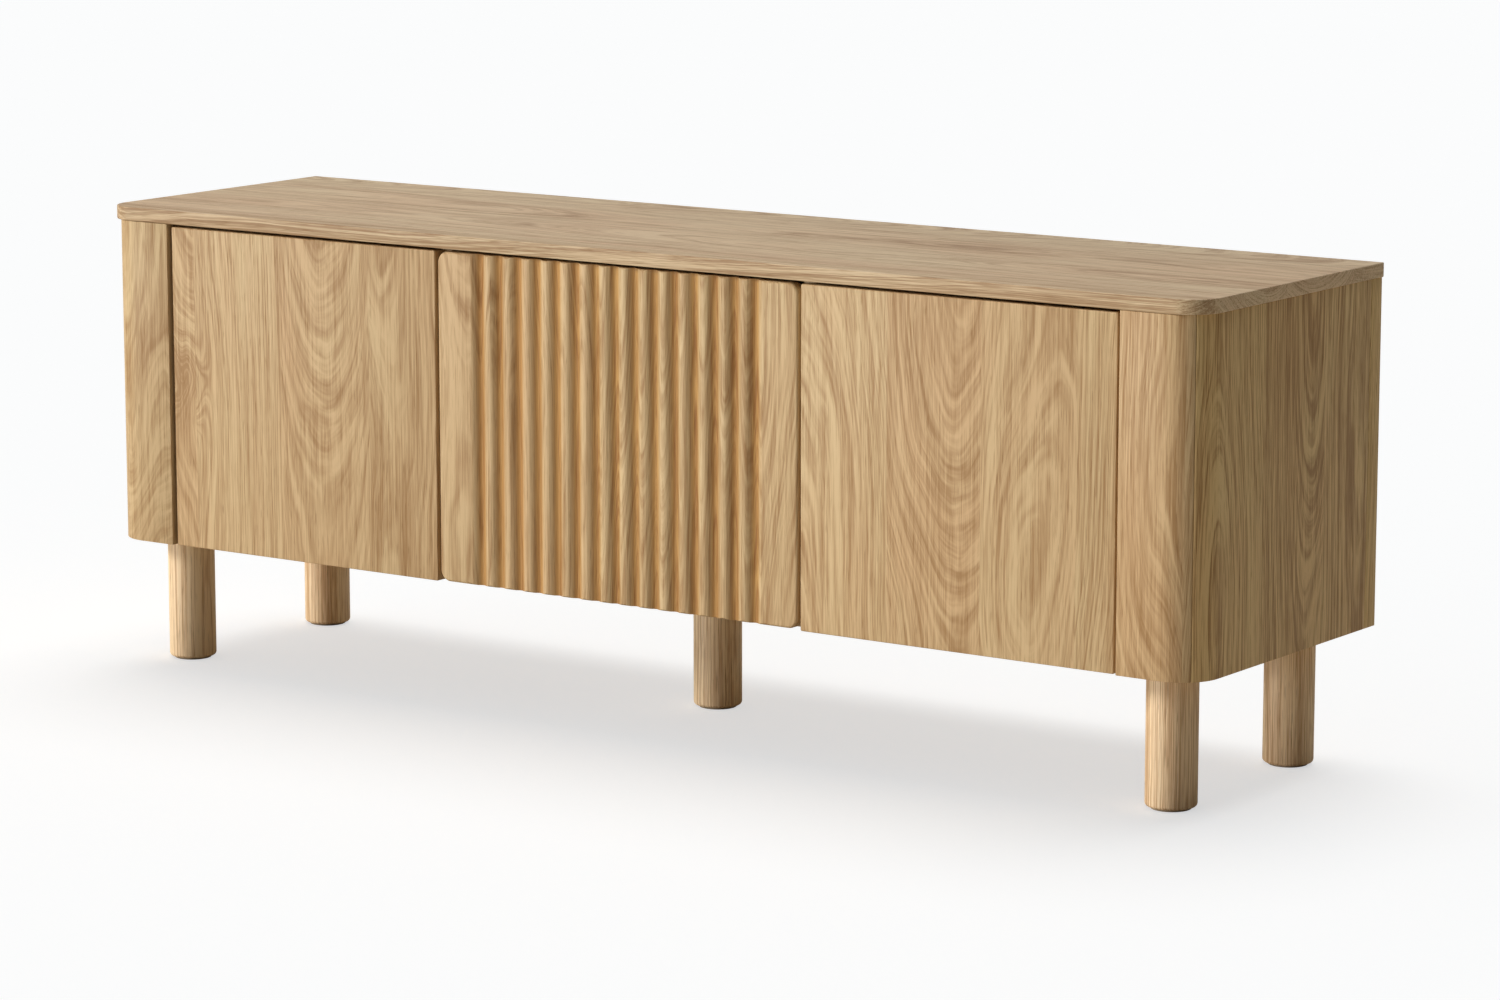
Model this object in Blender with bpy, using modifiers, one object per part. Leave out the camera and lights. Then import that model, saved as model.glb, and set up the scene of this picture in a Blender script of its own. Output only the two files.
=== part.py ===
"""Media cabinet: a low oak cabinet on five round legs, with two plain side doors and a fluted centre door.

Metres, +Z up. The origin is on the floor under the middle of the footprint, and the doors face -Y.
Each door turns on two concealed cup hinges and rests against a push latch.
"""

import math

import bmesh
import bpy
from mathutils import Matrix, Vector

# Overall sizes
WIDTH = 1.500
DEPTH = 0.390
HEIGHT = 0.550
LEG_HEIGHT = 0.150  # floor to the underside of the body

# Boards
TOP_T = 0.016
SHELL_T = 0.016  # side panels and corner posts
INNER_T = 0.016  # inner sides and dividers
FLOOR_T = 0.016
SHELF_T = 0.016
BACK_T = 0.004
BACK_RECESS = 0.004  # back panel behind the rear edge
DOOR_T = 0.016

# Outline of the body
SIDE_OVERHANG = 0.002  # top beyond the side panels
TOP_CORNER_R = 0.038
BODY_CORNER_R = 0.046
STILE_W = 0.0505  # flat front of a corner post, before its curve starts
REAR_STRIP_W = 0.024

# Doors
DOOR_RECESS = 0.0035  # door fronts behind the corner posts
DOOR_TOP_GAP = 0.0036
STILE_GAP = 0.0043
DOOR_GAP = 0.0038
CENTRE_DOOR_W = 0.4952
CENTRE_DOOR_LIFT = 0.001
CENTRE_DOOR_CORNER_R = 0.013
DOOR_EDGE_R = 0.0015
CENTRE_DOOR_EDGE_R = 0.003
FLUTES = 14
FLUTE_PITCH = 0.027
FLUTE_DEPTH = 0.0055
FLUTE_CREST = 1.3  # over 1, crests are wider than grooves
FLUTE_STEPS = 10  # facets across one rib

# Legs
LEG_D = 0.056
LEG_SIDE_INSET = 0.066  # leg axis from the outer face of a side panel
LEG_FRONT_INSET = 0.067
LEG_REAR_INSET = 0.070
LEG_FOOT_R = 0.004
GLIDE_D = 0.044
GLIDE_T = 0.002
STUD_D = 0.008  # threaded stud between a leg and the cabinet floor
STUD_DOWN = 0.036  # stud below the underside of the body
STUD_COVER = 0.0035  # cabinet floor left above a stud

# Shelves and the cable holes behind them
SHELF_SETBACK = 0.012  # front edge behind the front edge of the dividers
SHELF_CENTRE = 0.50  # share of the clear height where a shelf sits
CABLE_HOLE_D = 0.060
CABLE_HOLE_Z = 0.060  # hole axis above the cabinet floor

# Cup hinges
CUP_D = 0.035
CUP_DEPTH = 0.0125
CUP_WALL = 0.0008
CUP_LIP = 0.003  # door edge to the rim of the cup
PIN_D = 0.003
PIN_SINK = 0.0078  # pin axis ahead of the door back
CORNER_CLEAR = 0.0004  # front corner of a swinging door to its neighbour
WING_L = 0.058
WING_W = 0.018
WING_T = 0.0013
ARM_T = 0.002
ARM_W = 0.010
ARM_EYE_R = 0.0032
PLATE_T = 0.002
PLATE_L = 0.048
PLATE_H = 0.038
ARM_BODY_H = 0.014
ARM_BODY_T = 0.0085
HINGE_INSET = 0.075  # hinge centre from the end of the door

# Push latches
LATCH_W = 0.014
LATCH_H = 0.016
LATCH_L = 0.058
PLUNGER_D = 0.008
PLUNGER_L = 0.044
STRIKE_D = 0.018
STRIKE_T = 0.0015
LATCH_DROP = 0.030  # latch axis below the top of the inner sides

GAP = 0.0003  # clearance between two pieces that touch
SWING_CLEAR = 0.004  # carcass front edges behind the backs of the doors
ROUND = 32  # facets of a full circle
BOARD_EDGE = 0.0006  # eased board edges

# Derived planes
FRONT = -DEPTH / 2
REAR = DEPTH / 2
BODY_X = WIDTH / 2 - SIDE_OVERHANG
BODY_Z0 = LEG_HEIGHT
BODY_Z1 = HEIGHT - TOP_T - GAP
ARC_X = BODY_X - BODY_CORNER_R
ARC_Y = FRONT + BODY_CORNER_R
STILE_X = ARC_X - STILE_W  # inner edge of a corner post and inner face of an inner side
DOOR_Y0 = FRONT + DOOR_RECESS
DOOR_Y1 = DOOR_Y0 + DOOR_T
DOOR_Z1 = HEIGHT - TOP_T - DOOR_TOP_GAP
CARCASS_Y0 = DOOR_Y1 + SWING_CLEAR
BACK_Y1 = REAR - BACK_RECESS
BACK_Y0 = BACK_Y1 - BACK_T
CARCASS_Y1 = BACK_Y0 - GAP
FLOOR_Z1 = BODY_Z0 + FLOOR_T
STUD_Z0 = BODY_Z0 - STUD_DOWN
STUD_Z1 = FLOOR_Z1 - STUD_COVER
INNER_Z0 = FLOOR_Z1 + GAP
SPLIT_X = CENTRE_DOOR_W / 2 + DOOR_GAP / 2  # middle of a divider
SIDE_DOOR_X0 = SPLIT_X + DOOR_GAP / 2
SIDE_DOOR_X1 = STILE_X - STILE_GAP
DIVIDER_IN = SPLIT_X - INNER_T / 2
DIVIDER_OUT = SPLIT_X + INNER_T / 2
CUP_R = CUP_D / 2
CUP_U = CUP_LIP + CUP_R  # cup axis from the door edge
PIN_BACK = DOOR_T - PIN_SINK  # pin axis behind the door front
CORNER_OUT = min(DOOR_GAP, STILE_GAP) - CORNER_CLEAR  # how far a front corner may swing past the door edge
PIN_IN = (PIN_BACK**2 - CORNER_OUT**2) / (2 * CORNER_OUT)  # pin axis from the edge of the door

OAK = (0.56, 0.40, 0.235)
OAK_SIDE = (0.52, 0.37, 0.215)
OAK_TOP = (0.50, 0.37, 0.24)
OAK_LEG = (0.50, 0.35, 0.20)
BOARD = (0.60, 0.46, 0.30)
FIBREBOARD = (0.42, 0.30, 0.19)
STEEL = (0.62, 0.62, 0.63)
GREY_PLASTIC = (0.35, 0.35, 0.36)
FELT = (0.30, 0.26, 0.22)


def clear_scene():
    for obj in list(bpy.data.objects):
        bpy.data.objects.remove(obj, do_unlink=True)
    for coll in list(bpy.data.collections):
        bpy.data.collections.remove(coll)


def collection(name):
    coll = bpy.data.collections.new(name)
    bpy.context.scene.collection.children.link(coll)
    return coll


def material(name, rgb, roughness, metallic):
    mat = bpy.data.materials.new(name)
    mat.use_nodes = True
    shader = mat.node_tree.nodes["Principled BSDF"]
    shader.inputs["Base Color"].default_value = (*rgb, 1.0)
    shader.inputs["Roughness"].default_value = roughness
    shader.inputs["Metallic"].default_value = metallic
    return mat


def add_object(name, mesh, location, coll):
    obj = bpy.data.objects.new(name, mesh)
    obj.location = location
    coll.objects.link(obj)
    return obj


def box(name, low, high, coll, round_edges=None, radius=0.0, segments=1):
    """A box between two corners. round_edges picks edges, by their middle point, to round before anything else."""
    low, high = Vector(low), Vector(high)
    bm = bmesh.new()
    bmesh.ops.create_cube(bm, size=1.0)
    bmesh.ops.scale(bm, vec=high - low, verts=bm.verts)
    if round_edges:
        edges = [e for e in bm.edges if round_edges((e.verts[0].co + e.verts[1].co) / 2, e)]
        bmesh.ops.bevel(
            bm, geom=edges, offset=radius, segments=segments, profile=0.5, affect="EDGES", clamp_overlap=True
        )
    mesh = bpy.data.meshes.new(name)
    bm.to_mesh(mesh)
    bm.free()
    return add_object(name, mesh, (low + high) / 2, coll)


def cylinder(name, radius, low, high, axis, coll, sides=ROUND):
    """A cylinder between two points that differ along one axis only."""
    low, high = Vector(low), Vector(high)
    bm = bmesh.new()
    turn = {"X": Matrix.Rotation(math.pi / 2, 4, "Y"), "Y": Matrix.Rotation(math.pi / 2, 4, "X"), "Z": Matrix()}[axis]
    bmesh.ops.create_cone(
        bm, cap_ends=True, segments=sides, radius1=radius, radius2=radius, depth=(high - low).length, matrix=turn
    )
    mesh = bpy.data.meshes.new(name)
    bm.to_mesh(mesh)
    bm.free()
    mesh.shade_smooth()
    mesh.set_sharp_from_angle(angle=math.radians(30))
    return add_object(name, mesh, (low + high) / 2, coll)


def prism(name, outline, z0, z1, coll):
    """A flat outline in plan, given thickness from z0 to z1."""
    curve = bpy.data.curves.new(name + "_outline", "CURVE")
    curve.dimensions = "2D"
    curve.fill_mode = "BOTH"
    curve.extrude = (z1 - z0) / 2
    spline = curve.splines.new("POLY")
    spline.points.add(len(outline) - 1)
    for point, (x, y) in zip(spline.points, outline):
        point.co = (x, y, 0.0, 1.0)
    spline.use_cyclic_u = True
    flat = add_object(name + "_outline", curve, (0.0, 0.0, (z0 + z1) / 2), coll)
    bpy.context.view_layer.update()
    evaluated = flat.evaluated_get(bpy.context.evaluated_depsgraph_get())
    mesh = bpy.data.meshes.new_from_object(evaluated)
    bm = bmesh.new()
    bm.from_mesh(mesh)
    bmesh.ops.remove_doubles(bm, verts=bm.verts, dist=0.000005)
    bmesh.ops.recalc_face_normals(bm, faces=bm.faces)
    bm.to_mesh(mesh)
    bm.free()
    solid = add_object(name, mesh, (0.0, 0.0, 0.0), coll)
    solid.matrix_world = flat.matrix_world.copy()
    bpy.data.objects.remove(flat, do_unlink=True)
    bpy.data.curves.remove(curve)
    return solid


def arc(cx, cy, radius, start, end, steps):
    """Points on a circle, from one angle to another in degrees."""
    turns = [math.radians(start + (end - start) * i / steps) for i in range(steps + 1)]
    return [(cx + radius * math.cos(a), cy + radius * math.sin(a)) for a in turns]


def boolean(obj, other, operation):
    other.hide_render = True
    other.display_type = "WIRE"
    mod = obj.modifiers.new(operation.title() + "_" + other.name, "BOOLEAN")
    mod.operation = operation
    mod.object = other
    mod.solver = "EXACT"


def ease(obj, width, segments=1):
    """Rounds every sharp edge by a small radius."""
    mod = obj.modifiers.new("Eased_edges", "BEVEL")
    mod.width = width
    mod.segments = segments
    mod.limit_method = "ANGLE"
    mod.angle_limit = math.radians(40)


def paint(obj, mat):
    obj.data.materials.clear()
    obj.data.materials.append(mat)


def axis_empty(name, location, coll):
    empty = bpy.data.objects.new(name, None)
    empty.empty_display_size = 0.03
    empty.location = location
    coll.objects.link(empty)
    return empty


def hang(obj, empty):
    obj.location = obj.location - empty.location
    obj.parent = empty


def mirror_side(points, side):
    return [(side * x, y) for x, y in points]


clear_scene()
CABINET = collection("Media_cabinet")
CUTTERS = collection("Cutters")
OAK_DOOR_MAT = material("oak_veneer_door", OAK, 0.50, 0.0)
OAK_SIDE_MAT = material("oak_veneer_side", OAK_SIDE, 0.50, 0.0)
OAK_TOP_MAT = material("oak_veneer_top", OAK_TOP, 0.45, 0.0)
OAK_LEG_MAT = material("solid_oak_leg", OAK_LEG, 0.50, 0.0)
BOARD_MAT = material("oak_foil_board", BOARD, 0.55, 0.0)
BACK_MAT = material("fibreboard", FIBREBOARD, 0.70, 0.0)
STEEL_MAT = material("nickelled_steel", STEEL, 0.30, 1.0)
PLASTIC_MAT = material("grey_plastic", GREY_PLASTIC, 0.50, 0.0)
FELT_MAT = material("felt", FELT, 0.95, 0.0)


def build_shell():
    """Top, corner posts, side panels and rear strips: the pieces that show from outside."""
    top = box(
        "top_panel",
        (-WIDTH / 2, FRONT, HEIGHT - TOP_T),
        (WIDTH / 2, REAR, HEIGHT),
        CABINET,
        lambda mid, e: abs(mid.z) < 1e-6 and mid.y < 0 and abs(mid.x) > 1e-6,
        TOP_CORNER_R,
        14,
    )
    ease(top, BOARD_EDGE)
    paint(top, OAK_TOP_MAT)
    outer, inner = BODY_CORNER_R, BODY_CORNER_R - SHELL_T
    seam = math.degrees(GAP / 2 / outer)
    for side, word in ((-1, "left"), (1, "right")):
        post = (
            [(STILE_X, FRONT)]
            + arc(ARC_X, ARC_Y, outer, -90, -45 - seam, 7)
            + arc(ARC_X, ARC_Y, inner, -45 - seam, -90, 7)
            + [(STILE_X, FRONT + SHELL_T)]
        )
        obj = prism("corner_post_" + word, mirror_side(post, side), BODY_Z0, BODY_Z1, CABINET)
        paint(obj, OAK_DOOR_MAT)
        panel = (
            arc(ARC_X, ARC_Y, outer, -45 + seam, 0, 7)
            + [(BODY_X, REAR - REAR_STRIP_W), (BODY_X - SHELL_T, REAR - REAR_STRIP_W)]
            + arc(ARC_X, ARC_Y, inner, 0, -45 + seam, 7)
        )
        obj = prism("side_panel_" + word, mirror_side(panel, side), BODY_Z0, BODY_Z1, CABINET)
        paint(obj, OAK_SIDE_MAT)
        xs = sorted((side * BODY_X, side * (BODY_X - SHELL_T)))
        obj = box(
            "rear_strip_" + word,
            (xs[0], REAR - REAR_STRIP_W + GAP, BODY_Z0),
            (xs[1], REAR, BODY_Z1),
            CABINET,
        )
        ease(obj, BOARD_EDGE / 2)
        paint(obj, OAK_SIDE_MAT)


def build_carcass():
    """Cabinet floor, inner sides, dividers, shelves and the back with its cable holes. Returns the floor."""
    floor_x = BODY_X - SHELL_T - GAP
    floor = box(
        "bottom_panel",
        (-floor_x, CARCASS_Y0, BODY_Z0),
        (floor_x, CARCASS_Y1, FLOOR_Z1),
        CABINET,
        lambda mid, e: abs(mid.z) < 1e-6 and mid.y < 0 and abs(mid.x) > 1e-6,
        BODY_CORNER_R - SHELL_T,
        8,
    )
    paint(floor, BOARD_MAT)
    for side, word in ((-1, "left"), (1, "right")):
        xs = sorted((side * STILE_X, side * (STILE_X + INNER_T)))
        obj = box(
            "inner_side_" + word, (xs[0], FRONT + SHELL_T + GAP, INNER_Z0), (xs[1], CARCASS_Y1, BODY_Z1), CABINET
        )
        ease(obj, BOARD_EDGE)
        paint(obj, BOARD_MAT)
        xs = sorted((side * DIVIDER_IN, side * DIVIDER_OUT))
        obj = box("divider_" + word, (xs[0], CARCASS_Y0, INNER_Z0), (xs[1], CARCASS_Y1, BODY_Z1), CABINET)
        ease(obj, BOARD_EDGE)
        paint(obj, BOARD_MAT)
    back = box(
        "back_panel", (-floor_x, BACK_Y0, BODY_Z0), (floor_x, BACK_Y1, BODY_Z1), CABINET
    )
    paint(back, BACK_MAT)
    side_mid = (DIVIDER_OUT + STILE_X) / 2
    clear_z = BODY_Z1 - FLOOR_Z1
    shelf_z = FLOOR_Z1 + clear_z * SHELF_CENTRE
    for word, mid, half in (
        ("left", -side_mid, (STILE_X - DIVIDER_OUT) / 2),
        ("centre", 0.0, DIVIDER_IN),
        ("right", side_mid, (STILE_X - DIVIDER_OUT) / 2),
    ):
        hole = cylinder(
            "cable_hole_" + word,
            CABLE_HOLE_D / 2,
            (mid, BACK_Y0 - 0.01, FLOOR_Z1 + CABLE_HOLE_Z),
            (mid, BACK_Y1 + 0.01, FLOOR_Z1 + CABLE_HOLE_Z),
            "Y",
            CUTTERS,
        )
        boolean(back, hole, "DIFFERENCE")
        shelf = box(
            "shelf_" + word,
            (mid - half + GAP, CARCASS_Y0 + SHELF_SETBACK, shelf_z - SHELF_T / 2),
            (mid + half - GAP, CARCASS_Y1 - GAP, shelf_z + SHELF_T / 2),
            CABINET,
        )
        ease(shelf, BOARD_EDGE)
        paint(shelf, BOARD_MAT)
    return floor


def build_legs(floor):
    """Round legs, each held up to the cabinet floor by a threaded stud, with a glide under it."""
    corner_x = BODY_X - LEG_SIDE_INSET
    places = {
        "front_left": (-corner_x, FRONT + LEG_FRONT_INSET),
        "front_right": (corner_x, FRONT + LEG_FRONT_INSET),
        "rear_left": (-corner_x, REAR - LEG_REAR_INSET),
        "rear_right": (corner_x, REAR - LEG_REAR_INSET),
        "centre": (0.0, (CARCASS_Y0 + CARCASS_Y1) / 2),
    }
    foot_z = GLIDE_T + GAP
    for word, (x, y) in places.items():
        leg = cylinder("leg_" + word, LEG_D / 2, (x, y, foot_z), (x, y, BODY_Z0 - GAP), "Z", CABINET, 40)
        bm = bmesh.new()
        bm.from_mesh(leg.data)
        low = min(v.co.z for v in bm.verts)
        rim = [e for e in bm.edges if all(abs(v.co.z - low) < 1e-6 for v in e.verts)]
        bmesh.ops.bevel(bm, geom=rim, offset=LEG_FOOT_R, segments=3, profile=0.5, affect="EDGES")
        bm.to_mesh(leg.data)
        bm.free()
        paint(leg, OAK_LEG_MAT)
        bore = cylinder(
            "stud_bore_" + word, STUD_D / 2 + GAP, (x, y, STUD_Z0 - GAP), (x, y, STUD_Z1 + GAP), "Z", CUTTERS, 24
        )
        boolean(leg, bore, "DIFFERENCE")
        boolean(floor, bore, "DIFFERENCE")
        stud = cylinder("leg_stud_" + word, STUD_D / 2, (x, y, STUD_Z0), (x, y, STUD_Z1), "Z", CABINET, 24)
        paint(stud, STEEL_MAT)
        glide = cylinder("glide_" + word, GLIDE_D / 2, (x, y, 0.0), (x, y, GLIDE_T), "Z", CABINET)
        paint(glide, FELT_MAT)


def flute_cutter(z0, z1):
    """What stands in front of the ribs: its back follows one wave for each rib, and rolls out to the flat margins."""
    crest = 0.0001

    def depth(offset, rise):
        """Depth behind the crest, at a distance from the middle of a rib, with the crest lifted by rise."""
        wave = (1 - math.cos(2 * math.pi * offset / FLUTE_PITCH)) / 2
        return wave**FLUTE_CREST * (FLUTE_DEPTH + rise) - rise

    half = FLUTE_PITCH / 2
    first = -FLUTES * half
    points = []
    steps = [i / FLUTE_STEPS for i in range(FLUTE_STEPS + 1)]
    for t in steps[FLUTE_STEPS // 2 :]:
        points.append((first - half + (t - 0.5) * FLUTE_PITCH, depth((t - 0.5) * FLUTE_PITCH, crest)))
    for rib in range(FLUTES):
        middle = first + (rib + 0.5) * FLUTE_PITCH
        for t in steps[1:]:
            offset = (t - 0.5) * FLUTE_PITCH
            points.append((middle + offset, depth(offset, -crest)))
    for t in steps[1 : FLUTE_STEPS // 2 + 1]:
        offset = (t - 0.5) * FLUTE_PITCH
        points.append((-first + half + offset, depth(offset, crest)))
    outline = [(x, DOOR_Y0 + d) for x, d in points]
    outline += [(outline[-1][0], DOOR_Y0 - 0.004), (outline[0][0], DOOR_Y0 - 0.004)]
    return prism("flute_cutter", outline, z0 - 0.01, z1 + 0.01, CUTTERS)


class Hinge:
    """Plan frame of a door's hinges: u runs from the carcass edge into the opening, v runs back from the door front."""

    def __init__(self, word, edge_x, side, wall_u, door_z0, door_z1):
        self.word = word
        self.edge_x = edge_x  # door edge in x
        self.side = side  # +1 where the door runs to +X from its hinges
        self.wall_u = wall_u  # wall face, from the door edge
        self.pin = Vector((edge_x + side * PIN_IN, DOOR_Y0 + PIN_BACK, 0.0))
        self.heights = (door_z0 + HINGE_INSET, door_z1 - HINGE_INSET)

    def plan(self, u, v):
        """World x and y of a point u in from the door edge and v behind the door front."""
        return self.edge_x + self.side * u, DOOR_Y0 + v

    def block(self, name, u0, u1, v0, v1, z0, z1, coll):
        (xa, ya), (xb, yb) = self.plan(u0, v0), self.plan(u1, v1)
        return box(name, (min(xa, xb), ya, z0), (max(xa, xb), yb, z1), coll)


def ribbon(points, width):
    """Outline of a strip of even width along a plan path, with mitred bends."""
    left, right = [], []
    for i, p in enumerate(points):
        p = Vector(p)
        before = (p - Vector(points[i - 1])).normalized() if i else None
        after = (Vector(points[i + 1]) - p).normalized() if i < len(points) - 1 else None
        along = ((before or after) + (after or before)).normalized()
        across = Vector((-along.y, along.x))
        reach = width / 2 / max(0.5, along.dot(after or before))
        left.append(tuple(p + across * reach))
        right.append(tuple(p - across * reach))
    return left + right[::-1]


def build_hinges(hinge, door, door_axis):
    """The two cups in a door and the two arms on the wall beside it."""
    u_pin = PIN_IN
    for height, level in zip(hinge.heights, ("lower", "upper")):
        tag = hinge.word + "_" + level
        x, _ = hinge.plan(CUP_U, 0)
        y_floor = DOOR_Y1 - CUP_DEPTH
        bore = cylinder(
            "cup_bore_" + tag, CUP_R + GAP, (x, y_floor - GAP, height), (x, DOOR_Y1 + 0.01, height), "Y", CUTTERS, 48
        )
        boolean(door, bore, "DIFFERENCE")
        cup = cylinder(
            "hinge_cup_" + tag, CUP_R, (x, y_floor, height), (x, DOOR_Y1 + GAP + WING_T, height), "Y", CABINET, 48
        )
        wings = hinge.block(
            "cup_wings_" + tag,
            CUP_U - WING_W / 2,
            CUP_U + WING_W / 2,
            DOOR_T + GAP,
            DOOR_T + GAP + WING_T,
            height - WING_L / 2,
            height + WING_L / 2,
            CUTTERS,
        )
        boolean(cup, wings, "UNION")
        hollow = cylinder(
            "cup_hollow_" + tag,
            CUP_R - CUP_WALL,
            (x, y_floor + CUP_WALL, height),
            (x, DOOR_Y1 + 0.01, height),
            "Y",
            CUTTERS,
            48,
        )
        boolean(cup, hollow, "DIFFERENCE")
        far_side = CUP_U - u_pin + PIN_D / 2
        reach = math.sqrt((CUP_R - CUP_WALL / 5) ** 2 - far_side**2)
        px, py = hinge.plan(u_pin, PIN_BACK)
        pin = cylinder(
            "cup_pin_" + tag, PIN_D / 2, (px, py, height - reach), (px, py, height + reach), "Z", CUTTERS, 16
        )
        boolean(cup, pin, "UNION")
        paint(cup, STEEL_MAT)
        hang(cup, door_axis)

        back_v = DOOR_T + 0.012
        body_u = hinge.wall_u + GAP + PLATE_T + ARM_BODY_T / 2
        path = [
            (u_pin, PIN_BACK),
            (u_pin + 0.0110, PIN_BACK + 0.0015),
            (u_pin + 0.0135, PIN_BACK + 0.0108),
            (u_pin + 0.0090, DOOR_T + 0.0072),
            (body_u, back_v + 0.004),
        ]
        plan_path = [hinge.plan(u, v) for u, v in path]
        arm = prism(
            "hinge_arm_" + tag, ribbon(plan_path, ARM_T), height - ARM_W / 2, height + ARM_W / 2, CABINET
        )
        eye = cylinder(
            "arm_eye_" + tag,
            ARM_EYE_R,
            (px, py, height - ARM_W / 2 + 0.0004),
            (px, py, height + ARM_W / 2 - 0.0004),
            "Z",
            CUTTERS,
            24,
        )
        boolean(arm, eye, "UNION")
        pivot = cylinder(
            "arm_bore_" + tag, PIN_D / 2 + GAP, (px, py, height - ARM_W), (px, py, height + ARM_W), "Z", CUTTERS, 16
        )
        boolean(arm, pivot, "DIFFERENCE")
        plate = hinge.block(
            "arm_plate_" + tag,
            hinge.wall_u + GAP,
            hinge.wall_u + GAP + PLATE_T,
            back_v,
            back_v + PLATE_L,
            height - PLATE_H / 2,
            height + PLATE_H / 2,
            CUTTERS,
        )
        boolean(arm, plate, "UNION")
        body = hinge.block(
            "arm_body_" + tag,
            hinge.wall_u + GAP + PLATE_T / 2,
            hinge.wall_u + GAP + PLATE_T + ARM_BODY_T,
            back_v + 0.002,
            back_v + PLATE_L - 0.003,
            height - ARM_BODY_H / 2,
            height + ARM_BODY_H / 2,
            CUTTERS,
        )
        boolean(arm, body, "UNION")
        paint(arm, STEEL_MAT)


def build_latch(word, wall_x, side, door_axis):
    """A push latch on a wall face: side is the way it stands off the wall. Its strike is on the back of the door."""
    z = BODY_Z1 - LATCH_DROP
    xs = sorted((wall_x + side * GAP, wall_x + side * (GAP + LATCH_W)))
    x = (xs[0] + xs[1]) / 2
    y0 = CARCASS_Y0 + SHELF_SETBACK / 4
    housing = box(
        "latch_housing_" + word, (xs[0], y0, z - LATCH_H / 2), (xs[1], y0 + LATCH_L, z + LATCH_H / 2), CABINET
    )
    ease(housing, BOARD_EDGE)
    tip = DOOR_Y1 + GAP + STRIKE_T + GAP
    end = tip + PLUNGER_L
    bore = cylinder("latch_bore_" + word, PLUNGER_D / 2 + GAP, (x, y0 - 0.01, z), (x, end + GAP, z), "Y", CUTTERS, 24)
    boolean(housing, bore, "DIFFERENCE")
    paint(housing, PLASTIC_MAT)
    axis = axis_empty("latch_axis_" + word, (x, tip, z), CABINET)
    plunger = cylinder("latch_plunger_" + word, PLUNGER_D / 2, (x, tip, z), (x, end, z), "Y", CABINET, 24)
    ease(plunger, BOARD_EDGE)
    paint(plunger, PLASTIC_MAT)
    hang(plunger, axis)
    strike = cylinder(
        "latch_strike_" + word, STRIKE_D / 2, (x, DOOR_Y1 + GAP, z), (x, DOOR_Y1 + GAP + STRIKE_T, z), "Y", CABINET
    )
    paint(strike, STEEL_MAT)
    hang(strike, door_axis)


def build_door(word, x0, x1, z0, z1, side, wall_u, latch_wall_x, latch_side):
    """A door between two x, with its hinges at the low x where side is +1 and at the high x where it is -1."""
    hinge = Hinge(word, x0 if side > 0 else x1, side, wall_u, z0, z1)
    axis = axis_empty("door_axis_" + word, (hinge.pin.x, hinge.pin.y, (z0 + z1) / 2), CABINET)
    fluted = word == "centre"
    corner = CENTRE_DOOR_CORNER_R if fluted else DOOR_EDGE_R
    door = box(
        "door_" + word,
        (x0, DOOR_Y0, z0),
        (x1, DOOR_Y1, z1),
        CABINET,
        lambda mid, e: abs(mid.y) < 1e-6,
        corner,
        8 if fluted else 2,
    )
    ease(door, CENTRE_DOOR_EDGE_R if fluted else DOOR_EDGE_R, 3 if fluted else 2)
    if fluted:
        boolean(door, flute_cutter(z0, z1), "DIFFERENCE")
    build_hinges(hinge, door, axis)
    build_latch(word, latch_wall_x, latch_side, axis)
    paint(door, OAK_DOOR_MAT)
    hang(door, axis)


def build_doors():
    z1 = DOOR_Z1
    side_wall = -STILE_GAP
    build_door("left", -SIDE_DOOR_X1, -SIDE_DOOR_X0, BODY_Z0, z1, 1, side_wall, -DIVIDER_OUT, -1)
    build_door("right", SIDE_DOOR_X0, SIDE_DOOR_X1, BODY_Z0, z1, -1, side_wall, DIVIDER_OUT, 1)
    half = CENTRE_DOOR_W / 2
    build_door(
        "centre", -half, half, BODY_Z0 + CENTRE_DOOR_LIFT, z1, 1, half - DIVIDER_IN, DIVIDER_IN, -1
    )


build_shell()
cabinet_floor = build_carcass()
build_legs(cabinet_floor)
build_doors()
bpy.context.view_layer.update()
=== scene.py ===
import math

import bmesh
import bpy
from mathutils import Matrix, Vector


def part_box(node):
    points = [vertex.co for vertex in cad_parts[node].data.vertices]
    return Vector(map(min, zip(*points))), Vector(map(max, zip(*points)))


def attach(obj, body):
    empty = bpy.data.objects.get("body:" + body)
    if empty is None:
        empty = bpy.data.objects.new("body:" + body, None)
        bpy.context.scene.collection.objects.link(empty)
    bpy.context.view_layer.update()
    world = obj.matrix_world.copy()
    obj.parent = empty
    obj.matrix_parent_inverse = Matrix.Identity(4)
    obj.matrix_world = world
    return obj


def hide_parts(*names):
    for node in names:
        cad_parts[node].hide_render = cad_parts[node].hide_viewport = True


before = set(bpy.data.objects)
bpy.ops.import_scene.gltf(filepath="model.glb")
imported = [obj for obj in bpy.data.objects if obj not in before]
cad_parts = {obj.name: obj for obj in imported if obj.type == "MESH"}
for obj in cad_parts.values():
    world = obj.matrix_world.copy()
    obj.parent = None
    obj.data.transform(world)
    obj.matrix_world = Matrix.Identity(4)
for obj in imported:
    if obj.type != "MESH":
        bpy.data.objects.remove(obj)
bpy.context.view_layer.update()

LEVELS = ("lower", "upper")
BAYS = ("left", "centre", "right")
SIDES = (("left", -1), ("right", 1))
HAIR = 1e-5  # nearer than this, two points are level


# ---------------------------------------------------------------- selection and mesh helpers

def deselect():
    if bpy.context.mode != "OBJECT":
        bpy.ops.object.mode_set(mode="OBJECT")
    for obj in bpy.context.selected_objects:
        obj.select_set(False)


def make_active(obj):
    deselect()
    obj.select_set(True)
    bpy.context.view_layer.objects.active = obj


def settle(obj):
    """Puts the piece's place, turn and scale into its mesh."""
    make_active(obj)
    bpy.ops.object.transform_apply(location=True, rotation=True, scale=True)


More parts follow.
